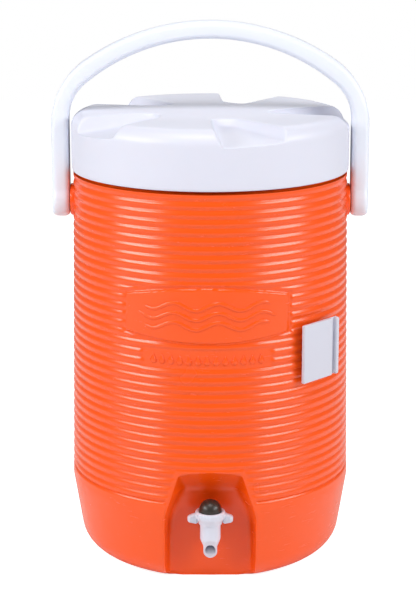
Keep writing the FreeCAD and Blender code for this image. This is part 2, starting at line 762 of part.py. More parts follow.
def main():
    os.makedirs("parts", exist_ok=True)
    write("outer_shell", outer_shell())
    write("foam_fill", foam_fill())
    write("inner_liner", inner_liner())
    write("lid_cover", lid_cover())
    write("lid_foam", lid_foam())
    write("lid_liner", lid_liner())
    write("lid_seal", lid_seal())
    write("bail_handle", bail_handle())
    write("cup_bracket", cup_bracket())
    write("faucet_body", faucet_body())
    write("faucet_bonnet", faucet_bonnet())
    write("push_button", push_button())
    write("valve_stem", valve_stem())
    write("valve_seal", on_stem(VALVE_R, VALVE_Z))
    write("stem_clip", on_stem(CLIP_R, CLIP_Z))
    write("stem_seal", stem_seal())
    write("return_spring", return_spring())
    write("outer_gasket", outer_gasket())
    write("inner_gasket", shank_ring(INNER_RING_R, INNER_PAD_Y, INNER_GASKET))
    write("inner_washer", shank_ring(INNER_RING_R, INNER_PAD_Y + INNER_GASKET, WASHER))
    write("lock_nut", lock_nut())


main()
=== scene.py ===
import json
import math

import bmesh
import bpy
from mathutils import Matrix, Vector


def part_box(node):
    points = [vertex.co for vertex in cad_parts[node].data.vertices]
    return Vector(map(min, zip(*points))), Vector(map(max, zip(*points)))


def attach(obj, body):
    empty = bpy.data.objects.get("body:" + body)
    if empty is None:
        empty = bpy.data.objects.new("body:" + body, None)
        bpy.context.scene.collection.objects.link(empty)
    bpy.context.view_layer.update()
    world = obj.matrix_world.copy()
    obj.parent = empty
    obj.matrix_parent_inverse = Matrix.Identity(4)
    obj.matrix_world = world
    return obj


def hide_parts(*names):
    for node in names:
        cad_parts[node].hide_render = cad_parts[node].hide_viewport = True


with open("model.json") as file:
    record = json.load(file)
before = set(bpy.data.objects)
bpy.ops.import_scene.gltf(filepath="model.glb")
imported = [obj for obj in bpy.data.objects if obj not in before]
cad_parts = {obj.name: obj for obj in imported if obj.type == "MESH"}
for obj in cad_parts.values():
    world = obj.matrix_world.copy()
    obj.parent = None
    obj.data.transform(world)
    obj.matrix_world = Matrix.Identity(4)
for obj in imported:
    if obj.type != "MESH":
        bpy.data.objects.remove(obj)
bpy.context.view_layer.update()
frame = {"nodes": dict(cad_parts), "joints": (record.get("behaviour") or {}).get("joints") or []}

# Shapes are worked out in millimetres and made metres when a piece is finished.
MM = 0.001

# --- the camera and the studio -------------------------------------------------
CAMERA_AT = (-0.0023, -1.8115, 0.7214)
CAMERA_TILT = 75.773              # degrees up from straight down
CAMERA_LENS = 107.43              # mm, on a sensor 36 mm wide
LIGHT_TARGET = Vector((0.0, 0.0, 0.26))
ROOM_LIGHT = 0.24                 # what the white room adds to the softboxes
FLOOR_SIZE = 3.4
FLOOR_GLOW = 0.80                 # keeps the floor pale without lighting the object


def make_camera():
    data = bpy.data.cameras.new("camera")
    data.lens = CAMERA_LENS
    data.sensor_width = 36.0
    camera = bpy.data.objects.new("camera", data)
    camera.location = CAMERA_AT
    camera.rotation_euler = (math.radians(CAMERA_TILT), 0.0, 0.0)
    bpy.context.scene.collection.objects.link(camera)
    bpy.context.scene.camera = camera


def softbox(name, azimuth, elevation, distance, size, power):
    """A rectangular light that faces the dispenser; azimuth is in degrees from the tap's side."""
    data = bpy.data.lights.new(name, "AREA")
    data.shape = "RECTANGLE"
    data.size, data.size_y = size
    data.energy = power
    light = bpy.data.objects.new(name, data)
    a, e = math.radians(azimuth), math.radians(elevation)
    away = Vector((math.sin(a) * math.cos(e), -math.cos(a) * math.cos(e), math.sin(e)))
    light.location = LIGHT_TARGET + away * distance
    light.rotation_mode = "QUATERNION"
    light.rotation_quaternion = (-away).to_track_quat("-Z", "Y")
    bpy.context.scene.collection.objects.link(light)


def make_studio():
    world = bpy.data.worlds.new("studio")
    world.use_nodes = True
    nodes, links = world.node_tree.nodes, world.node_tree.links
    room = nodes["Background"]
    room.inputs["Color"].default_value = (0.97, 0.98, 1.0, 1.0)
    room.inputs["Strength"].default_value = ROOM_LIGHT
    backdrop = nodes.new("ShaderNodeBackground")
    backdrop.inputs["Color"].default_value = (1.0, 1.0, 1.0, 1.0)
    seen = nodes.new("ShaderNodeLightPath")
    choose = nodes.new("ShaderNodeMixShader")
    links.new(seen.outputs["Is Camera Ray"], choose.inputs["Fac"])
    links.new(room.outputs[0], choose.inputs[1])
    links.new(backdrop.outputs[0], choose.inputs[2])
    links.new(choose.outputs[0], nodes["World Output"].inputs["Surface"])
    bpy.context.scene.world = world
    bpy.context.scene.view_settings.view_transform = "Standard"
    softbox("left_softbox", -62, 24, 2.2, (1.35, 0.5), 28)
    softbox("right_softbox", 62, 24, 2.2, (1.35, 0.5), 27)
    softbox("front_fill", -8, 66, 1.9, (1.0, 0.7), 15)
    softbox("back_softbox", 172, 40, 2.0, (1.8, 1.2), 10)

    bm = bmesh.new()
    bmesh.ops.create_grid(bm, x_segments=1, y_segments=1, size=FLOOR_SIZE)
    floor = new_object("studio_floor", bm)
    floor.data.materials.append(floor_paint())


# --- materials -----------------------------------------------------------------
GRAIN_DEPTH = 0.000012            # metres
BORE_SHADE_R = 0.0050                   # painted shade in the spout's bore: full within this radius, faded out again at the next
BORE_SHADE_FADE_R = 0.0057
BORE_SHADE_START_Z = 0.030               # the bore's painted shade grows from here up to the valve
BORE_SHADE_FULL_Z = 0.039


def node_material(name):
    material = bpy.data.materials.new(name)
    material.use_nodes = True
    return material, material.node_tree, material.node_tree.nodes["Principled BSDF"]


def moulded_surface():
    """A group for moulded plastic: flow-mottled colour, uneven gloss and a fine grain."""
    group = bpy.data.node_groups.new("moulded_surface", "ShaderNodeTree")
    make = group.interface.new_socket
    for name, kind in (
        ("Colour", "NodeSocketColor"),
        ("Shade", "NodeSocketColor"),
        ("Mottle Scale", "NodeSocketFloat"),
        ("Mottle", "NodeSocketFloat"),
        ("Grain Scale", "NodeSocketFloat"),
        ("Roughness", "NodeSocketFloat"),
        ("Gloss Change", "NodeSocketFloat"),
        ("Scuffs", "NodeSocketFloat"),
    ):
        make(name=name, in_out="INPUT", socket_type=kind)
    for name, kind in (
        ("Colour", "NodeSocketColor"),
        ("Roughness", "NodeSocketFloat"),
        ("Height", "NodeSocketFloat"),
    ):
        make(name=name, in_out="OUTPUT", socket_type=kind)
    nodes, links = group.nodes, group.links
    given = nodes.new("NodeGroupInput")
    out = nodes.new("NodeGroupOutput")
    place = nodes.new("ShaderNodeTexCoord")

    mottle = nodes.new("ShaderNodeTexNoise")
    mottle.inputs["Detail"].default_value = 4.0
    mottle.inputs["Roughness"].default_value = 0.55
    links.new(place.outputs["Object"], mottle.inputs["Vector"])
    links.new(given.outputs["Mottle Scale"], mottle.inputs["Scale"])
    amount = nodes.new("ShaderNodeMath")
    amount.operation = "MULTIPLY"
    links.new(mottle.outputs["Fac"], amount.inputs[0])
    links.new(given.outputs["Mottle"], amount.inputs[1])
    tint = nodes.new("ShaderNodeMix")
    tint.data_type = "RGBA"
    links.new(amount.outputs[0], tint.inputs["Factor"])
    links.new(given.outputs["Colour"], tint.inputs["A"])
    links.new(given.outputs["Shade"], tint.inputs["B"])

    grain = nodes.new("ShaderNodeTexNoise")
    grain.inputs["Detail"].default_value = 3.0
    links.new(place.outputs["Object"], grain.inputs["Vector"])
    links.new(given.outputs["Grain Scale"], grain.inputs["Scale"])

    stretch = nodes.new("ShaderNodeMapping")
    stretch.inputs["Scale"].default_value = (1.0, 1.0, 7.0)
    links.new(place.outputs["Object"], stretch.inputs["Vector"])
    scuff = nodes.new("ShaderNodeTexNoise")
    scuff.inputs["Scale"].default_value = 46.0
    scuff.inputs["Detail"].default_value = 6.0
    scuff.inputs["Roughness"].default_value = 0.7
    links.new(stretch.outputs["Vector"], scuff.inputs["Vector"])
    thin = nodes.new("ShaderNodeMapRange")
    thin.inputs["From Min"].default_value = 0.60
    thin.inputs["From Max"].default_value = 0.74
    links.new(scuff.outputs["Fac"], thin.inputs["Value"])
    worn = nodes.new("ShaderNodeMath")
    worn.operation = "MULTIPLY"
    links.new(thin.outputs["Result"], worn.inputs[0])
    links.new(given.outputs["Scuffs"], worn.inputs[1])

    swing = nodes.new("ShaderNodeMath")
    swing.operation = "SUBTRACT"
    swing.inputs[1].default_value = 0.5
    links.new(mottle.outputs["Fac"], swing.inputs[0])
    uneven = nodes.new("ShaderNodeMath")
    uneven.operation = "MULTIPLY_ADD"
    links.new(swing.outputs[0], uneven.inputs[0])
    links.new(given.outputs["Gloss Change"], uneven.inputs[1])
    links.new(given.outputs["Roughness"], uneven.inputs[2])
    rough = nodes.new("ShaderNodeMath")
    rough.operation = "ADD"
    links.new(uneven.outputs[0], rough.inputs[0])
    links.new(worn.outputs[0], rough.inputs[1])

    links.new(tint.outputs["Result"], out.inputs["Colour"])
    links.new(rough.outputs[0], out.inputs["Roughness"])
    links.new(grain.outputs["Fac"], out.inputs["Height"])


def moulded_plastic(name, colour, shade, roughness, grain_scale=700.0,
                    mottle_scale=9.0, gloss_change=0.12, see_into=0.0):
    material, tree, shader = node_material(name)
    surface = tree.nodes.new("ShaderNodeGroup")
    surface.node_tree = bpy.data.node_groups["moulded_surface"]
    for socket, value in (
        ("Colour", (*colour, 1.0)),
        ("Shade", (*shade, 1.0)),
        ("Mottle Scale", mottle_scale),
        ("Mottle", 0.5),
        ("Grain Scale", grain_scale),
        ("Roughness", roughness),
        ("Gloss Change", gloss_change),
        ("Scuffs", 0.05),
    ):
        surface.inputs[socket].default_value = value
    bump = tree.nodes.new("ShaderNodeBump")
    bump.inputs["Strength"].default_value = 0.5
    bump.inputs["Distance"].default_value = GRAIN_DEPTH
    tree.links.new(surface.outputs["Height"], bump.inputs["Height"])
    tree.links.new(surface.outputs["Colour"], shader.inputs["Base Color"])
    tree.links.new(surface.outputs["Roughness"], shader.inputs["Roughness"])
    tree.links.new(bump.outputs["Normal"], shader.inputs["Normal"])
    shader.inputs["IOR"].default_value = 1.5
    shader.inputs["Subsurface Weight"].default_value = see_into
    shader.inputs["Subsurface Radius"].default_value = (0.004, 0.0025, 0.002)
    return material


def paint_bore_shade(material):
    """Paints shade into the spout's bore, darkest towards the valve."""
    x, y = tap_axis()
    tree = material.node_tree
    shader = tree.nodes["Principled BSDF"]
    place = tree.nodes.new("ShaderNodeTexCoord")
    axis = tree.nodes.new("ShaderNodeMapping")
    axis.inputs["Location"].default_value = (-x * MM, -y * MM, 0.0)
    tree.links.new(place.outputs["Object"], axis.inputs["Vector"])
    parts = tree.nodes.new("ShaderNodeSeparateXYZ")
    tree.links.new(axis.outputs["Vector"], parts.inputs["Vector"])
    flat = tree.nodes.new("ShaderNodeCombineXYZ")
    tree.links.new(parts.outputs["X"], flat.inputs["X"])
    tree.links.new(parts.outputs["Y"], flat.inputs["Y"])
    reach = tree.nodes.new("ShaderNodeVectorMath")
    reach.operation = "LENGTH"
    tree.links.new(flat.outputs["Vector"], reach.inputs[0])
    inside = tree.nodes.new("ShaderNodeMapRange")
    inside.inputs["From Min"].default_value = BORE_SHADE_FADE_R
    inside.inputs["From Max"].default_value = BORE_SHADE_R
    tree.links.new(reach.outputs["Value"], inside.inputs["Value"])
    height = tree.nodes.new("ShaderNodeMapRange")
    height.inputs["From Min"].default_value = BORE_SHADE_START_Z
    height.inputs["From Max"].default_value = BORE_SHADE_FULL_Z
    tree.links.new(parts.outputs["Z"], height.inputs["Value"])
    amount = tree.nodes.new("ShaderNodeMath")
    amount.operation = "MULTIPLY"
    tree.links.new(inside.outputs["Result"], amount.inputs[0])
    tree.links.new(height.outputs["Result"], amount.inputs[1])
    # painted shade: a dark blue-grey mixed into the tap's colour inside the bore, fullest towards the
    # valve
    painted_shade = tree.nodes.new("ShaderNodeMix")
    painted_shade.data_type = "RGBA"
    painted_shade.inputs["B"].default_value = (0.05, 0.06, 0.12, 1.0)
    clean = shader.inputs["Base Color"].links[0].from_socket
    tree.links.new(amount.outputs[0], painted_shade.inputs["Factor"])
    tree.links.new(clean, painted_shade.inputs["A"])
    tree.links.new(painted_shade.outputs["Result"], shader.inputs["Base Color"])


def floor_paint():
    material, tree, shader = node_material("studio_paint")
    noise = tree.nodes.new("ShaderNodeTexNoise")
    noise.inputs["Scale"].default_value = 3.0
    ramp = tree.nodes.new("ShaderNodeValToRGB")
    ramp.color_ramp.elements[0].color = (0.90, 0.90, 0.90, 1.0)
    ramp.color_ramp.elements[1].color = (0.93, 0.93, 0.93, 1.0)
    tree.links.new(noise.outputs["Fac"], ramp.inputs["Fac"])
    tree.links.new(ramp.outputs["Color"], shader.inputs["Base Color"])
    shader.inputs["Roughness"].default_value = 0.9
    shader.inputs["Emission Color"].default_value = (1.0, 1.0, 1.0, 1.0)
    seen = tree.nodes.new("ShaderNodeLightPath")
    glow = tree.nodes.new("ShaderNodeMath")
    glow.operation = "MULTIPLY"
    glow.inputs[1].default_value = FLOOR_GLOW
    tree.links.new(seen.outputs["Is Camera Ray"], glow.inputs[0])
    tree.links.new(glow.outputs[0], shader.inputs["Emission Strength"])
    return material


def foam_material():
    """Pale poured foam with open bubbles."""
    material, tree, shader = node_material("poured_foam")
    cells = tree.nodes.new("ShaderNodeTexVoronoi")
    cells.inputs["Scale"].default_value = 420.0
    place = tree.nodes.new("ShaderNodeTexCoord")
    tree.links.new(place.outputs["Object"], cells.inputs["Vector"])
    ramp = tree.nodes.new("ShaderNodeValToRGB")
    ramp.color_ramp.elements[0].color = (0.72, 0.60, 0.34, 1.0)
    ramp.color_ramp.elements[1].color = (0.90, 0.82, 0.58, 1.0)
    tree.links.new(cells.outputs["Distance"], ramp.inputs["Fac"])
    tree.links.new(ramp.outputs["Color"], shader.inputs["Base Color"])
    bump = tree.nodes.new("ShaderNodeBump")
    bump.inputs["Distance"].default_value = 0.0004
    tree.links.new(cells.outputs["Distance"], bump.inputs["Height"])
    tree.links.new(bump.outputs["Normal"], shader.inputs["Normal"])
    shader.inputs["Roughness"].default_value = 0.9
    return material


def spring_wire():
    """Drawn steel wire with fine scratches along it."""
    material, tree, shader = node_material("spring_wire")
    place = tree.nodes.new("ShaderNodeTexCoord")
    noise = tree.nodes.new("ShaderNodeTexNoise")
    noise.inputs["Scale"].default_value = 1400.0
    noise.inputs["Detail"].default_value = 2.0
    tree.links.new(place.outputs["Object"], noise.inputs["Vector"])
    ramp = tree.nodes.new("ShaderNodeValToRGB")
    ramp.color_ramp.elements[0].color = (0.42, 0.42, 0.44, 1.0)
    ramp.color_ramp.elements[1].color = (0.62, 0.62, 0.63, 1.0)
    tree.links.new(noise.outputs["Fac"], ramp.inputs["Fac"])
    tree.links.new(ramp.outputs["Color"], shader.inputs["Base Color"])
    shader.inputs["Metallic"].default_value = 1.0
    shader.inputs["Roughness"].default_value = 0.28
    return material


def make_materials():
    moulded_surface()
    materials = {
        "orange": moulded_plastic("orange_polyethylene", (0.880, 0.087, 0.001),
                                  (0.840, 0.077, 0.001), 0.25),
        "lid": moulded_plastic("white_lid_plastic", (0.68, 0.685, 0.775), (0.63, 0.64, 0.745), 0.42,
                               see_into=0.10),
        "bail": moulded_plastic("white_bail_plastic", (0.76, 0.79, 0.865), (0.71, 0.74, 0.835), 0.38,
                                see_into=0.08),
        "bracket": moulded_plastic("pale_bracket_plastic", (0.60, 0.605, 0.685), (0.55, 0.56, 0.645),
                                   0.42),
        "tap": moulded_plastic("white_tap_plastic", (0.66, 0.69, 0.78), (0.60, 0.64, 0.75), 0.34,
                               mottle_scale=60.0, grain_scale=1800.0, see_into=0.05),
        "button": moulded_plastic("black_button_rubber", (0.022, 0.017, 0.013),
                                  (0.034, 0.027, 0.022), 0.34, mottle_scale=90.0,
                                  grain_scale=2200.0, gloss_change=0.2),
        "tank": moulded_plastic("white_tank_plastic", (0.80, 0.80, 0.78), (0.72, 0.73, 0.72), 0.40,
                                mottle_scale=14.0, see_into=0.05),
        "lid_liner": moulded_plastic("lid_liner_plastic", (0.78, 0.80, 0.83), (0.70, 0.73, 0.78),
                                     0.42, mottle_scale=14.0),
        "seal": moulded_plastic("pale_seal_rubber", (0.50, 0.50, 0.49), (0.40, 0.40, 0.40), 0.62,
                                mottle_scale=40.0, gloss_change=0.2),
        "black_rubber": moulded_plastic("black_seal_rubber", (0.020, 0.020, 0.021),
                                        (0.035, 0.034, 0.033), 0.55, mottle_scale=120.0),
        "stem": moulded_plastic("natural_acetal", (0.66, 0.66, 0.64), (0.58, 0.58, 0.57), 0.36,
                                mottle_scale=110.0),
        "nut": moulded_plastic("white_nut_plastic", (0.72, 0.72, 0.72), (0.63, 0.64, 0.65), 0.40,
                               mottle_scale=80.0),
        "foam": foam_material(),
        "wire": spring_wire(),
    }
    # paints shade into the spout's bore
    paint_bore_shade(materials["tap"])
    return materials


# --- mesh helpers --------------------------------------------------------------
def new_object(name, bm):
    mesh = bpy.data.meshes.new(name)
    bm.to_mesh(mesh)
    bm.free()
    piece = bpy.data.objects.new(name, mesh)
    bpy.context.scene.collection.objects.link(piece)
    return piece


def finish_piece(name, bm, material, body, nodes=(), sharp=38.0):
    """Makes a finished piece of a bmesh in millimetres, riding on its body."""
    bmesh.ops.remove_doubles(bm, verts=bm.verts, dist=0.0005)
    bmesh.ops.recalc_face_normals(bm, faces=bm.faces)
    limit = math.radians(sharp)
    for face in bm.faces:
        face.smooth = True
    for edge in bm.edges:
        edge.smooth = edge.calc_face_angle(0.0) < limit
    bmesh.ops.scale(bm, vec=(MM, MM, MM), verts=bm.verts)
    piece = new_object(name, bm)
    piece.data.materials.append(material)
    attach(piece, body)
    if nodes:
        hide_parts(*nodes)
    return piece


def box_mm(node):
    low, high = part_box(node)
    return low / MM, high / MM


def smooth_step(low, high, value):
    t = min(max((value - low) / (high - low), 0.0), 1.0)
    return t * t * (3.0 - 2.0 * t)


def soft_ramp(value, width):
    """Nought below nought and value above it, with a round bend of about width."""
    return 0.5 * (value + math.sqrt(value * value + width * width))


def soft_min(a, b, width):
    return a - soft_ramp(a - b, width)


def mix(a, b, share):
    return a + (b - a) * share


def arc_points(centre, radius, start, end, count):
    """Points (radius, height) on an arc, with angles in degrees from the outward direction."""
    points = []
    for i in range(count + 1):
        angle = math.radians(mix(start, end, i / count))
        points.append((centre[0] + radius * math.cos(angle), centre[1] + radius * math.sin(angle)))
    return points


def spin_outline(points, steps, centre=(0.0, 0.0, 0.0)):
    """Spins an outline of (radius, height) points about an upright axis, from the front."""
    bm = bmesh.new()
    made = [bm.verts.new((centre[0], centre[1] - r, z)) for r, z in points]
    edges = [bm.edges.new(pair) for pair in zip(made, made[1:])]
    bmesh.ops.spin(bm, geom=made + edges, cent=centre, axis=(0.0, 0.0, 1.0),
                   angle=2.0 * math.pi, steps=steps, use_merge=True)
    bmesh.ops.remove_doubles(bm, verts=bm.verts, dist=0.0005)
    return bm


def spin_level(bm, points, steps, centre):
    """Spins an outline of (radius, distance along Y) points about a level axis through centre."""
    made = [bm.verts.new((centre[0], centre[1] + along, centre[2] + r)) for r, along in points]
    edges = [bm.edges.new(pair) for pair in zip(made, made[1:])]
    bmesh.ops.spin(bm, geom=made + edges, cent=centre, axis=(0.0, 1.0, 0.0),
                   angle=2.0 * math.pi, steps=steps, use_merge=True)


def spin_pivot(bm, points, side, steps):
    """Spins an outline of (radius, distance along X) points about the bail's pivot axis."""
    pivot_z = bail_pivot_z()
    made = [bm.verts.new((side * along, 0.0, pivot_z + r)) for r, along in points]
    edges = [bm.edges.new(pair) for pair in zip(made, made[1:])]
    bmesh.ops.spin(bm, geom=made + edges, cent=(0.0, 0.0, pivot_z), axis=(1.0, 0.0, 0.0),
                   angle=2.0 * math.pi, steps=steps, use_merge=True)


def rounded_box(bm, size, centre, radius, segments=3, turn=None):
    """A box with rounded edges, turned by the matrix turn about the origin at the end."""
    made = bmesh.ops.create_cube(bm, size=1.0)["verts"]
    bmesh.ops.scale(bm, vec=size, verts=made)
    edges = list({e for v in made for e in v.link_edges})
    done = bmesh.ops.bevel(bm, geom=edges, offset=radius, offset_type="OFFSET", affect="EDGES",
                           segments=segments, profile=0.5, material=-1, clamp_overlap=True)
    verts = list({v for f in done["faces"] for v in f.verts} | {v for v in made if v.is_valid})
    bmesh.ops.translate(bm, vec=centre, verts=verts)
    if turn:
        bmesh.ops.transform(bm, matrix=turn, verts=verts)
    return verts


def sweep(bm, stations):
    """Joins closed loops of points, each given as a list, into a skin with closed ends."""
    ring = [bm.verts.new(p) for p in stations[0]]
    loop = [bm.edges.new((a, b)) for a, b in zip(ring, ring[1:] + ring[:1])]
    bm.faces.new(ring)
    for points in stations[1:]:
        made = bmesh.ops.extrude_edge_only(bm, edges=loop)["geom"]
        fresh = [g for g in made if isinstance(g, bmesh.types.BMVert)]
        loop = [g for g in made if isinstance(g, bmesh.types.BMEdge)
                and g.verts[0] in fresh and g.verts[1] in fresh]
        pairs = {}
        for old in ring:
            for edge in old.link_edges:
                other = edge.other_vert(old)
                if other in fresh:
                    pairs[old] = other
        ring = [pairs[v] for v in ring]
        for vert, point in zip(ring, points):
            vert.co = point
    bm.faces.new(ring)


# --- body shell ----------------------------------------------------------------
shell_low, shell_high = box_mm("outer_shell")
tank_low, tank_high = box_mm("inner_liner")
lid_low, lid_high = box_mm("lid_cover")
BELLY_R = shell_high.x            # rib crowns at the bottom of the ribbed stretch
TOP_R = lid_high.x - 1.5          # rib crowns at the top
BODY_TOP_Z = lid_low.z - 3.3
NECK_TOP_Z = shell_high.z
NECK_R = tank_high.x
BELLY_Z = 79.0
FOOT_R = 132.6                    # where the leaning foot would meet the ground
EDGE_R = 29.0                     # the round of the lower edge
RIB_PITCH = 8.684
RIB_DEPTH = 1.5
RIB_FIRST_Z = 93.7
RIB_COUNT = 36
RIB_ROWS = 8                      # outline points per rib
SHELL_STEPS = 272
SHELL_WALL = 3.0
SHELL_FLOOR_Z = 5.4
BASE_PLAIN_R = 100.0              # the scoop stays outside this radius

SCOOP_FLOOR_Y = -108.0
SCOOP_HALF = 46.0                 # half-width at the surface, below the shoulder
SCOOP_TOP_HALF = 31.0
SCOOP_SHOULDER_Z = 74.0
SCOOP_TOP_Z = 121.0
FLOOR_HALF = 41.5                 # half-width at the scoop's floor
FLOOR_TOP_HALF = 27.0
FLOOR_SHOULDER_Z = 64.0
FLOOR_TOP_Z = 96.0
SCOOP_TOP_INSET = 3.7             # how far inside the rib crowns the roof comes out
RIM_ROUND = 2.8
CORNER_ROUND = 7.0

PANEL_X = -3.2
PANEL_HALF = 79.6
PANEL_TOP_Z = 308.2
PANEL_BOTTOM_Z = 254.1
PANEL_TOP_DROP = 9.4              # how far the bowed edges fall and rise at the ends
PANEL_BOTTOM_RISE = 7.7
PANEL_PROUD = 0.5
STRIP_HALF = 62.6
STRIP_TOP_Z = 246.2
STRIP_BOTTOM_Z = 227.8

# column numbers where the scoop's cross-section changes, counted from the front centre
FLOOR_COLUMNS = 6
CORNER_COLUMNS = 12
WALL_COLUMNS = 16
RIM_COLUMNS = 21
# columns outside the scoop: (column, angle in degrees)
OUTER_COLUMNS = ((44, 32.6), (52, 36.2), (136, 180.0))


def crown_r(z):
    """Radius of the ribs' crowns at height z."""
    return TOP_R + (BELLY_R - TOP_R) * (BODY_TOP_Z - z) / (BODY_TOP_Z - BELLY_Z)


def foot_lean():
    return math.atan2(BELLY_R - FOOT_R, BELLY_Z)


def foot_centre_r():
    """Radius at which the lower edge's round is centred."""
    return FOOT_R + EDGE_R * math.tan(foot_lean()) - EDGE_R / math.cos(foot_lean())


def base_arc(inset, count):
    return arc_points((foot_centre_r(), EDGE_R), EDGE_R - inset, -90.0,
                      -math.degrees(foot_lean()), count)


FOOT_TOP_R, FOOT_TOP_Z = base_arc(0.0, 1)[-1]


def foot_r(z):
    """Radius of the plain foot at height z, above its rounded edge."""
    return mix(FOOT_TOP_R, BELLY_R, (z - FOOT_TOP_Z) / (BELLY_Z - FOOT_TOP_Z))


def shell_outline():
    """The body's outline from the middle of the base, over the ribs and the neck, and back inside."""
    rows = [(0.0, 2.0), (45.0, 2.0), (86.5, 2.0), (88.4, 1.4), (89.4, 0.4), (91.0, 0.0), (99.0, 0.0)]
    rows += base_arc(0.0, 10)
    for i in range(1, 10):
        share = i / 9
        rows.append((mix(FOOT_TOP_R, BELLY_R, share), mix(FOOT_TOP_Z, BELLY_Z, share)))
    first = RIB_FIRST_Z - RIB_PITCH / 2
    for z in (81.5, 84.0, 86.2, first - 1.6):
        rows.append((crown_r(z), z))
    count = RIB_COUNT * RIB_ROWS - RIB_ROWS // 4
    for i in range(count + 1):
        z = first + i * RIB_PITCH / RIB_ROWS
        rows.append((crown_r(z), z))
    rows += [
        (TOP_R - 0.9, BODY_TOP_Z - 0.3),
        (TOP_R - 2.2, BODY_TOP_Z),
        (NECK_R + 0.6, BODY_TOP_Z),
        (NECK_R, BODY_TOP_Z + 0.6),
        (NECK_R, NECK_TOP_Z - 0.5),
        (NECK_R - 0.5, NECK_TOP_Z),
        (NECK_R - SHELL_WALL, NECK_TOP_Z),
        (NECK_R - SHELL_WALL, BODY_TOP_Z - SHELL_WALL),
    ]
    inside = RIB_DEPTH + SHELL_WALL
    for z in (396.5, 330.0, 260.0, 190.0, 150.0, 135.0, 128.0, 123.0, 118.0, 112.0, 106.0, 101.0,
              97.0, 93.0, 88.0, 82.0, 74.0, 60.0, 45.0, 32.0):
        wall = crown_r(z) if z > BELLY_Z else foot_r(z)
        rows.append((wall - inside, z))
    rows += base_arc(SHELL_WALL + RIB_DEPTH, 5)[::-1]
    rows += [(88.0, SHELL_FLOOR_Z), (0.0, SHELL_FLOOR_Z)]
    return rows


def scoop_floor_y(z):
    """Where the scoop's floor and its sloping roof lie at height z."""
    rise = (BELLY_R - SCOOP_TOP_INSET + SCOOP_FLOOR_Y) / (SCOOP_TOP_Z - FLOOR_TOP_Z)
    return SCOOP_FLOOR_Y - rise * soft_ramp(z - FLOOR_TOP_Z, 7.0)


def scoop_edge_half(z):
    """Half the scoop's width at the body's surface."""
    if z >= SCOOP_TOP_Z:
        return SCOOP_TOP_HALF
    bend = soft_ramp(z - SCOOP_SHOULDER_Z, 3.0) / (SCOOP_TOP_Z - SCOOP_SHOULDER_Z)
    return max(SCOOP_HALF - (SCOOP_HALF - SCOOP_TOP_HALF) * bend, SCOOP_TOP_HALF)


def scoop_floor_half(z):
    """Half the scoop's width at its floor."""
    bend = soft_ramp(z - FLOOR_SHOULDER_Z, 6.0) / (FLOOR_TOP_Z - FLOOR_SHOULDER_Z)
    narrow = FLOOR_HALF - (FLOOR_HALF - FLOOR_TOP_HALF) * bend
    widen = FLOOR_TOP_HALF + 4.0 * (z - FLOOR_TOP_Z) / (SCOOP_TOP_Z - FLOOR_TOP_Z)
    return max(narrow, widen) if z < SCOOP_TOP_Z else SCOOP_TOP_HALF


def scoop_section(column, edge, floor, depth):
    """(sideways place, share of the full depth) of a column at or inside the scoop's rim."""
    lean = max(edge - floor, 0.5)
    turn = math.atan2(max(depth, 0.01), lean)
    size = smooth_step(0.0, 5.0, depth)
    rim = RIM_ROUND * math.tan(turn / 2) * size
    corner = min(CORNER_ROUND * math.tan(turn / 2), 0.6 * depth) * size
    wall = max(math.hypot(depth, lean), 0.01)
    along = (lean / wall, depth / wall)
    if column >= WALL_COLUMNS:
        t = (RIM_COLUMNS - column) / (RIM_COLUMNS - WALL_COLUMNS)
        a, b, c = (rim, 0.0), (0.0, 0.0), (-rim * along[0], rim * along[1])
    elif column >= CORNER_COLUMNS:
        t = (WALL_COLUMNS - column) / (WALL_COLUMNS - CORNER_COLUMNS)
        a = (-rim * along[0], rim * along[1])
        c = (-lean + corner * along[0], depth - corner * along[1])
        b = ((a[0] + c[0]) / 2, (a[1] + c[1]) / 2)
    elif column >= FLOOR_COLUMNS:
        t = (CORNER_COLUMNS - column) / (CORNER_COLUMNS - FLOOR_COLUMNS)
        a = (-lean + corner * along[0], depth - corner * along[1])
        b, c = (-lean, depth), (-lean - corner, depth)
    else:
        t = 1.0 - column / FLOOR_COLUMNS
        a = (-lean - corner, depth)
        c = (-edge, depth)
        b = ((a[0] + c[0]) / 2, depth)
    x = (1 - t) ** 2 * a[0] + 2 * t * (1 - t) * b[0] + t * t * c[0]
    y = (1 - t) ** 2 * a[1] + 2 * t * (1 - t) * b[1] + t * t * c[1]
    share = y / depth if depth > 0.01 else 0.0
    plain = (column / RIM_COLUMNS) * (edge + RIM_ROUND)
    place = mix(plain, edge + x, size)
    flat = smooth_step(0.0, 3.0, edge - place)
    return place, mix(flat, share, size)


def rib_presence(x, z, angle):
    """Shares from 0 to 1 of the full ribs and of the raised panel at this place."""
    if abs(angle) > math.pi / 2:
        return 1.0, 0.0
    across = abs(x - PANEL_X)
    span = across / PANEL_HALF
    panel = min(PANEL_HALF - across, PANEL_TOP_Z - PANEL_TOP_DROP * span * span - z,
                z - PANEL_BOTTOM_Z - PANEL_BOTTOM_RISE * span * span)
    strip = min(STRIP_HALF - across, STRIP_TOP_Z - z, z - STRIP_BOTTOM_Z)
    scoop = min(scoop_edge_half(z) - abs(x), SCOOP_TOP_Z - z)
    stay = smooth_step(2.2, 4.6, -panel)
    stay = min(stay, smooth_step(0.2, 3.2, -strip))
    stay = min(stay, smooth_step(2.6, 5.6, -scoop))
    return stay, smooth_step(-0.7, 0.7, panel)


def on_inner_wall(r, z):
    """Whether a point of the spun outline is on the shell's inner side."""
    if z <= 4.0 or z >= BODY_TOP_Z - 1.0:
        return False
    if z >= BELLY_Z:
        return r < crown_r(z) - 2.5
    if z > FOOT_TOP_Z:
        return r < foot_r(z) - 2.0
    return math.hypot(r - foot_centre_r(), z - EDGE_R) < EDGE_R - 1.5


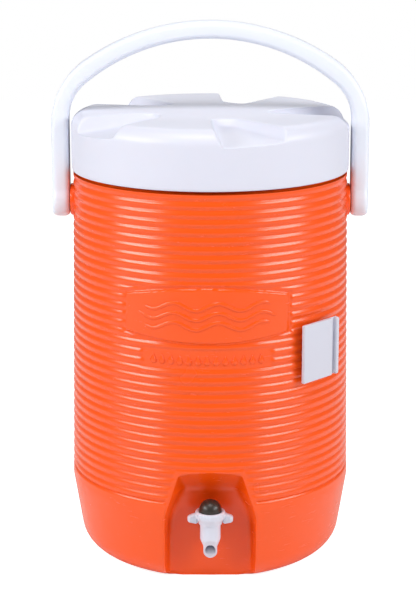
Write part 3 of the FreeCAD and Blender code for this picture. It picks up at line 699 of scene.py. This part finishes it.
def column_angle(column, start_angle):
    """Angle from the front of a column outside the scoop, whose rim is at start_angle."""
    low_column, low_angle = RIM_COLUMNS, start_angle
    for high_column, degrees in OUTER_COLUMNS:
        high_angle = math.radians(degrees)
        if column <= high_column + 0.01:
            break
        low_column, low_angle = high_column, high_angle
    return mix(low_angle, high_angle, (column - low_column) / (high_column - low_column))


def rib_offset(x, z, side, angle):
    """How far the outer surface stands out from the rib crowns, below nought in a groove."""
    stay, panel = rib_presence(side * x, z, angle)
    turns = math.pi * (z - RIB_FIRST_Z) / RIB_PITCH
    wave = mix(math.sin(turns) ** 2, 1.0 - abs(math.cos(turns)), 0.6)
    low = RIB_DEPTH * mix(1.0, wave, stay)
    near_scoop = smooth_step(-9.0, -3.0, min(scoop_edge_half(z) - x, SCOOP_TOP_Z - z))
    low *= 1.0 - near_scoop * (1.0 - stay)
    return mix(-low, PANEL_PROUD, panel)


def place_shell_vertex(vert):
    """Gathers the front columns into the scoop and gives the wall its ribs and panel."""
    r = math.hypot(vert.co.x, vert.co.y)
    z = vert.co.z
    if r < BASE_PLAIN_R:
        return
    turn = math.atan2(vert.co.x, -vert.co.y)
    column = abs(turn) / (2.0 * math.pi) * SHELL_STEPS
    side = 1.0 if turn >= 0.0 else -1.0
    inner = on_inner_wall(r, z)
    grow = SHELL_WALL if inner else 0.0
    in_scoop = z < SCOOP_TOP_Z + 6.0
    edge = scoop_edge_half(z) + grow
    floor = scoop_floor_half(z) + grow
    floor_y = scoop_floor_y(z - grow) + grow
    share = 0.0
    if column <= RIM_COLUMNS + 0.01:
        at_edge = -math.sqrt(max(r * r - edge * edge, 1.0))
        depth = max(floor_y - at_edge, 0.0) if in_scoop else 0.0
        x, share = scoop_section(column, edge, floor, depth)
        x = min(x, 0.98 * r)
        angle = math.asin(x / r)
    else:
        angle = column_angle(column, math.asin(min((edge + RIM_ROUND) / r, 0.95)))
        x = r * math.sin(angle)
    if not inner and RIB_FIRST_Z - RIB_PITCH / 2 - 0.1 <= z < BODY_TOP_Z - 0.4 and r > NECK_R + 2.0:
        r += rib_offset(x, z, side, angle)
        x = r * math.sin(angle)
    y = -r * math.cos(angle)
    if in_scoop:
        y += max(0.0, floor_y - y) * share
    vert.co = (side * x, y, z)


def add_pivot_bosses(bm):
    """The round pads that the bail's eyes turn on."""
    outline = [(0.0, 143.2), (15.2, 143.2), (16.2, 142.7), (16.5, 141.8), (16.8, 136.0), (0.0, 136.0)]
    for side in (-1.0, 1.0):
        spin_pivot(bm, outline, side, 40)


def bail_pivot_z():
    for joint in frame["joints"]:
        if joint["name"] == "bail_swing":
            return joint["pos_m"][2] / MM


def make_shell(material):
    bm = spin_outline(shell_outline(), SHELL_STEPS)
    for vert in bm.verts:
        place_shell_vertex(vert)
    add_pivot_bosses(bm)
    finish_piece("body_shell", bm, material, "cooler", ["outer_shell"], sharp=50.0)


def on_body(x, z, proud):
    """The point of the body's surface in front at (x, z), moved outwards by proud."""
    r = crown_r(z) + PANEL_PROUD + proud
    angle = x / r
    return Vector((r * math.sin(angle), -r * math.cos(angle), z))


WAVE_LENGTH = 44.0
WAVE_HEIGHT = 3.6
WAVE_GAP = 9.5
WAVE_REACH = 70.0                 # half the middle wave's length; the others are shorter
WAVE_SHORTER = 6.0
WAVE_STEPS = 96
WAVE_SIDES = 10
WAVES_Z = 281.0
DROP_COUNT = 13
DROP_GAP = 9.0
DROPS_Z = 235.4


def wave_stations(lift, reach):
    """Rounded cross-sections along one wave, thinning at both ends."""
    stations = []
    for i in range(WAVE_STEPS + 1):
        share = 2.0 * i / WAVE_STEPS - 1.0
        x = share * reach
        turns = x / (WAVE_LENGTH / 2) * math.pi
        z = WAVES_Z + lift + WAVE_HEIGHT * math.sin(turns)
        slope = WAVE_HEIGHT * math.pi / (WAVE_LENGTH / 2) * math.cos(turns)
        size = 2.0 * math.sqrt(max(1.0 - abs(share) ** 18, 0.02))
        upward = Vector((-slope, 1.0)).normalized()
        ring = []
        for k in range(WAVE_SIDES):
            turn = 2.0 * math.pi * k / WAVE_SIDES
            across = size * math.cos(turn)
            ring.append(on_body(PANEL_X + x + upward.x * across, z + upward.y * across,
                                0.6 * size * math.sin(turn)))
        stations.append(ring)
    return stations


def add_drop(bm, x):
    """A low drop on the strip, pointed at its top."""
    made = bmesh.ops.create_uvsphere(bm, u_segments=14, v_segments=10, radius=1.0)["verts"]
    for vert in made:
        pull = max(vert.co.z, 0.0)
        across = vert.co.x * 3.3 * (1.0 - 0.75 * pull)
        up = vert.co.z * 3.9 + 3.2 * pull ** 2
        vert.co = on_body(x + across, DROPS_Z + up, vert.co.y * -1.7 - PANEL_PROUD - RIB_DEPTH)


def make_panel_relief(material):
    """A plain relief of three waves on the panel, and a row of drops on the strip below."""
    bm = bmesh.new()
    for row in (1, 0, -1):
        sweep(bm, wave_stations(row * WAVE_GAP, WAVE_REACH - WAVE_SHORTER * abs(row)))
    for i in range(DROP_COUNT):
        add_drop(bm, PANEL_X + (i - DROP_COUNT // 2) * DROP_GAP)
    finish_piece("panel_relief", bm, material, "cooler")


# --- lid -----------------------------------------------------------------------
LID_STEPS = 540
LID_SHOULDER_R = 15.0
LID_UNDER_Z = 429.9
RECESSES = 5
RECESS_TURN = 360.0 / RECESSES
RECESS_LAG = 18.0                 # degrees from a sector's edge to the front
# the first recess's corners in plan, round from its inner left
RECESS_A = Vector((-0.8, -58.0))
RECESS_B = Vector((27.3, -58.0))
RECESS_C = Vector((94.2, -145.3))
RECESS_D = Vector((9.5, -167.3))
RECESS_INNER_Z = 453.4            # the floor's height at RECESS_LEVEL
RECESS_LEVEL = (15.0, -58.0)
RECESS_SLOPE = (0.03, 0.105)      # along X and along Y


def lid_outline():
    """From the middle of the top over the shoulder, down the skirt and back up inside."""
    r, top = lid_high.x, lid_high.z
    centre = (r - LID_SHOULDER_R, top - LID_SHOULDER_R)
    rows = [(0.0, top), (14.0, top), (28.0, top), (40.0, top), (48.0, top)]
    count = 62
    for i in range(count):
        rows.append((mix(51.0, centre[0], i / (count - 1)), top))
    rows += arc_points(centre, LID_SHOULDER_R, 90.0, 0.0, 16)[1:]
    rows += [(r, 444.5), (r, 442.0), (r, 439.0), (r, 435.0), (r, 428.0), (r, 416.0), (r, 406.0)]
    rows += [(r - 0.2, lid_low.z + 0.5), (r - 0.8, lid_low.z), (r - 2.2, lid_low.z)]
    rows += [(r - 3.0, lid_low.z + 0.8), (r - 3.0, LID_UNDER_Z), (0.0, LID_UNDER_Z)]
    return rows


def edge_distance(point, a, b):
    """Distance of a plan point from the line a-b, positive on its left."""
    along = (b - a).normalized()
    return along.x * (point.y - a.y) - along.y * (point.x - a.x)


def recess_height(x, y):
    """Height of the finger recess's floor and walls at a plan point of the first sector."""
    point = Vector((x, y))
    left = edge_distance(point, RECESS_A, RECESS_D)
    right = edge_distance(point, RECESS_C, RECESS_B)
    inner = edge_distance(point, RECESS_B, RECESS_A)
    inside = soft_min(soft_min(left, right, 5.0), inner, 6.0)
    floor = (RECESS_INNER_Z + RECESS_SLOPE[1] * (y - RECESS_LEVEL[1])
             + RECESS_SLOPE[0] * (x - RECESS_LEVEL[0]))
    return floor + 2.7 * soft_ramp(3.2 - inside, 1.6)


def place_lid_vertex(vert):
    """Presses the finger recesses into the top."""
    r = math.hypot(vert.co.x, vert.co.y)
    if r < 45.0 or vert.co.z < 438.0:
        return
    turn = math.degrees(math.atan2(vert.co.x, -vert.co.y))
    sector = math.floor((turn + RECESS_LAG) / RECESS_TURN)
    local = math.radians(turn - RECESS_TURN * sector)
    x, y = r * math.sin(local), -r * math.cos(local)
    vert.co.z = soft_min(vert.co.z, recess_height(x, y), 1.5)


def make_lid(material):
    bm = spin_outline(lid_outline(), LID_STEPS)
    for vert in bm.verts:
        place_lid_vertex(vert)
    finish_piece("lid_shell", bm, material, "lid", ["lid_cover"], sharp=60.0)


# --- bail ----------------------------------------------------------------------
BAIL_CROWN = (223.7, 198.2)       # outside and inside radius of the arch's top
BAIL_CORNER = (79.1, 50.0)        # outside and inside radius of its corners
BAIL_INNER_TOP_Z = 534.4
BAIL_INNER_HALF = 143.8           # from the middle to the inside of the straight legs
EYE_R = 17.5
EYE_BLEND = 20.0                  # the points crowd together below this height over the pivot
BAIL_HALF_WIDTH = 14.0
BAIL_ROUND = 5.5


def arch_contour(half, top_z, crown, corner, pivot_z, low_z):
    """Points of one side of an arch contour, from the top centre down to the foot."""
    crown_z = top_z - crown
    corner_x = half - corner
    corner_z = crown_z + math.sqrt((crown - corner) ** 2 - corner_x ** 2)
    join = math.atan2(corner_x, corner_z - crown_z)
    points = []
    for i in range(16):
        angle = join * i / 16
        points.append((crown * math.sin(angle), crown_z + crown * math.cos(angle)))
    for i in range(18):
        angle = mix(join, math.pi / 2, i / 18)
        points.append((corner_x + corner * math.sin(angle), corner_z + corner * math.cos(angle)))
    for i in range(5):
        points.append((half, mix(corner_z, pivot_z + EYE_BLEND, i / 5)))
    for i in range(16):
        points.append((half, mix(pivot_z + EYE_BLEND, low_z, math.sin(math.pi / 2 * i / 15))))
    return points


def bail_half_width(z, pivot_z):
    """Half the width of the leg at height z, which widens into the round eye."""
    rise = z - pivot_z
    if rise > EYE_R:
        return BAIL_HALF_WIDTH
    circle = math.sqrt(max(EYE_R ** 2 - rise ** 2, 0.3))
    if rise <= 0.0:
        return circle
    if circle <= BAIL_HALF_WIDTH:
        return BAIL_HALF_WIDTH
    return BAIL_HALF_WIDTH + (circle - BAIL_HALF_WIDTH) * smooth_step(EYE_R, 6.0, rise)


def bail_end_inset(rise):
    """How far the eye's faces draw in near its rounded lower edge."""
    short = max(BAIL_ROUND - rise, 0.0)
    return BAIL_ROUND - math.sqrt(BAIL_ROUND ** 2 - short ** 2)


def bail_ring(outer, inner, half_width):
    """A rounded cross-section of the bail between an outer and an inner contour point."""
    middle = Vector(((outer[0] + inner[0]) / 2, 0.0, (outer[1] + inner[1]) / 2))
    reach = Vector(((outer[0] - inner[0]) / 2, 0.0, (outer[1] - inner[1]) / 2))
    half_thick = reach.length
    outward = reach.normalized()
    radius = min(BAIL_ROUND, half_thick * 0.8, half_width * 0.8)
    ring = []
    for quarter in range(4):
        for i in range(6):
            angle = math.pi / 2 * (quarter + i / 5)
            sx = 1.0 if quarter in (0, 3) else -1.0
            sy = 1.0 if quarter in (0, 1) else -1.0
            across = sx * (half_thick - radius) + radius * math.cos(angle)
            wide = sy * (half_width - radius) + radius * math.sin(angle)
            ring.append(middle + outward * across + Vector((0.0, wide, 0.0)))
    return ring


def mirrored_ring(ring):
    return [Vector((-p.x, p.y, p.z)) for p in ring]


def make_bail(material):
    high = box_mm("bail_handle")[1]
    pivot_z = bail_pivot_z()
    foot_z = pivot_z - EYE_R
    outer = arch_contour(high.x, high.z, BAIL_CROWN[0], BAIL_CORNER[0], pivot_z, foot_z)
    inner = arch_contour(BAIL_INNER_HALF, BAIL_INNER_TOP_Z, BAIL_CROWN[1], BAIL_CORNER[1], pivot_z,
                         foot_z)
    half = []
    for o, i in zip(outer, inner):
        inset = bail_end_inset(i[1] - foot_z)
        half.append(bail_ring((o[0] - inset, o[1]), (i[0] + inset, i[1]),
                              bail_half_width(i[1], pivot_z)))
    bm = bmesh.new()
    sweep(bm, [mirrored_ring(ring) for ring in half[::-1]] + half[1:])
    stud = [(0.0, 144.6), (6.0, 144.6), (6.0, 130.2), (5.2, 129.2), (0.0, 129.2)]
    for side in (-1.0, 1.0):
        spin_pivot(bm, stud, side, 28)
    finish_piece("bail", bm, material, "bail", ["bail_handle"], sharp=60.0)


# --- cup dispenser bracket -----------------------------------------------------
BRACKET_ANGLE = 47.5              # degrees round from the front
PEG_INSET = 13.0                  # from the plate's ends to its pegs


def make_bracket(material):
    low, high = box_mm("cup_bracket")
    turn = Matrix.Rotation(math.radians(BRACKET_ANGLE), 4, "Z")
    height = high.z - low.z
    middle = (high.z + low.z) / 2
    bm = bmesh.new()
    plate, groove_floor, lip = (43.6, 4.0, height), (9.5, 1.0, height), (4.8, 5.4, height)
    rounded_box(bm, plate, (-4.7, -148.0, middle), 0.9, 3, turn)
    rounded_box(bm, groove_floor, (21.7, -146.5, middle), 0.4, 2, turn)
    rounded_box(bm, lip, (24.1, -148.7, middle), 2.0, 5, turn)
    for z in (low.z + PEG_INSET, high.z - PEG_INSET):
        rounded_box(bm, (10.0, 5.0, 10.0), (0.0, -144.6, z), 1.0, 2, turn)
    finish_piece("bracket_plate", bm, material, "cooler", ["cup_bracket"])


# --- tap -----------------------------------------------------------------------
SPOUT_R = 6.95
SPOUT_CUT_Z = 45.0                # height at which the mouth's slant would leave the front
WING = (10.4, 7.6, 8.4)
WING_Z = 69.8
WING_RIDGES = 6
KNURLS = 30
KNURL_R = 15.0


def tap_axis():
    low, high = box_mm("valve_stem")
    return (low.x + high.x) / 2, (low.y + high.y) / 2


def make_tap_body(material):
    x, y = tap_axis()
    tip_z = box_mm("faucet_body")[0].z
    outline = [
        (4.7, tip_z - 3.0), (SPOUT_R, tip_z - 3.0), (SPOUT_R, 30.0), (SPOUT_R, 39.6), (7.2, 41.2),
        (9.7, 47.2), (10.15, 48.6), (10.25, 49.8), (10.25, 58.0), (10.25, 64.6), (9.6, 65.2),
        (9.4, 69.4), (7.4, 69.5), (7.4, 50.0), (4.2, 49.4), (4.2, 47.0), (6.3, 46.9),
        (5.7, 41.0), (4.9, 37.8), (4.7, 36.4), (4.7, tip_z - 3.0),
    ]
    bm = spin_outline(outline, 56, centre=(x, y, 0.0))
    front = Vector((x, y - SPOUT_R, SPOUT_CUT_Z))
    back = Vector((x, y + SPOUT_R, tip_z))
    along = (back - front).normalized()
    normal = along.cross(Vector((1.0, 0.0, 0.0))).normalized()
    if normal.y > 0.0:
        normal = -normal
    cut = bmesh.ops.bisect_plane(bm, geom=bm.verts[:] + bm.edges[:] + bm.faces[:], dist=0.0001,
                                 plane_co=front, plane_no=normal, clear_outer=True)
    rim = [g for g in cut["geom_cut"] if isinstance(g, bmesh.types.BMEdge)]
    bmesh.ops.bridge_loops(bm, edges=rim)
    lip = [e for e in rim if e.is_valid]
    bmesh.ops.bevel(bm, geom=lip, offset=0.7, offset_type="OFFSET", affect="EDGES", segments=3,
                    profile=0.5, material=-1, clamp_overlap=True)
    gasket_low, gasket_high = box_mm("outer_gasket")
    shank_z = (gasket_low.z + gasket_high.z) / 2
    spin_level(bm, [(0.0, -118.5), (8.9, -118.5), (8.0, -117.0), (7.9, -113.4), (9.6, -112.6),
                    (10.2, -112.2), (10.2, -110.0), (7.9, -110.0), (7.9, -82.6), (7.3, -82.0),
                    (5.0, -82.0), (5.0, -112.0), (0.0, -112.0)], 48, (0.0, 0.0, shank_z))
    finish_piece("tap_body", bm, material, "cooler", ["faucet_body"])


def make_bonnet(material):
    x, y = tap_axis()
    low, high = box_mm("faucet_bonnet")
    top = high.z
    outline = [
        (9.5, low.z), (11.2, low.z), (11.8, low.z + 0.6), (11.9, 66.6), (12.4, 68.2),
        (14.2, 70.6), (14.8, 72.0), (15.0, 73.4), (15.0, top - 1.2), (14.6, top - 0.35),
        (13.8, top), (12.3, top), (11.6, top - 0.4), (11.43, top - 1.2), (11.43, 72.0),
        (4.0, 72.0), (1.88, 72.0), (1.88, 71.6), (4.0, 69.6), (9.5, 69.5), (9.5, low.z),
    ]
    bm = spin_outline(outline, 64, centre=(x, y, 0.0))
    span = (high.x - low.x) / 2
    for side in (-1.0, 1.0):
        wing = rounded_box(bm, WING, (side * (span - WING[0] / 2), y, WING_Z), 2.6, 5)
        for vert in wing:
            root = smooth_step(span, span - 10.0, abs(vert.co.x))
            low_side = smooth_step(71.0, 65.6, vert.co.z)
            high_side = smooth_step(70.0, 73.8, vert.co.z)
            vert.co.z += low_side * mix(0.6, -1.0, root) + high_side * mix(-0.8, 1.8, root)
        for k in range(WING_RIDGES):
            place = side * (span - 2.6 - 1.5 * k)
            rounded_box(bm, (0.7, 8.4, 6.2), (place, y, 69.7), 0.3, 2)
    for k in range(KNURLS):
        angle = 2.0 * math.pi * k / KNURLS
        if abs(math.sin(angle)) > 0.94:
            continue
        centre = (x + KNURL_R * math.sin(angle), y - KNURL_R * math.cos(angle), 75.0)
        made = rounded_box(bm, (1.0, 0.7, 3.6), (0.0, 0.0, 0.0), 0.3, 2)
        spot = Matrix.Translation(centre) @ Matrix.Rotation(angle, 4, "Z")
        bmesh.ops.transform(bm, matrix=spot, verts=made)
    finish_piece("tap_bonnet", bm, material, "cooler", ["faucet_bonnet"])


def make_button(material):
    x, y = tap_axis()
    low, high = box_mm("push_button")
    r = (high.x - low.x) / 2
    dome_z = high.z - r
    wall = 1.0
    outline = [(r - 2.0, low.z), (r - 0.4, low.z), (r, low.z + 0.4)]
    outline += arc_points((0.0, dome_z), r, 0.0, 90.0, 20)
    outline += arc_points((0.0, dome_z), r - wall, 90.0, 0.0, 20)
    outline += [(r - 2.0, low.z)]
    bm = spin_outline(outline, 64, centre=(x, y, 0.0))
    finish_piece("button_dome", bm, material, "button", ["push_button"])


# --- CAD pieces that keep their shape ------------------------------------------
def finish_cad_nodes(materials):
    finishes = {
        "inner_liner": "tank", "foam_fill": "foam", "lid_foam": "foam", "lid_liner": "lid_liner",
        "lid_seal": "seal", "valve_stem": "stem", "valve_seal": "seal", "stem_clip": "stem",
        "stem_seal": "black_rubber", "return_spring": "wire", "outer_gasket": "black_rubber",
        "inner_gasket": "black_rubber", "inner_washer": "nut", "lock_nut": "nut",
    }
    for node, finish in finishes.items():
        frame["nodes"][node].material_slots[0].material = materials[finish]


make_camera()
make_studio()
materials = make_materials()
make_shell(materials["orange"])
make_panel_relief(materials["orange"])
make_lid(materials["lid"])
make_bail(materials["bail"])
make_bracket(materials["bracket"])
make_tap_body(materials["tap"])
make_bonnet(materials["tap"])
make_button(materials["button"])
finish_cad_nodes(materials)
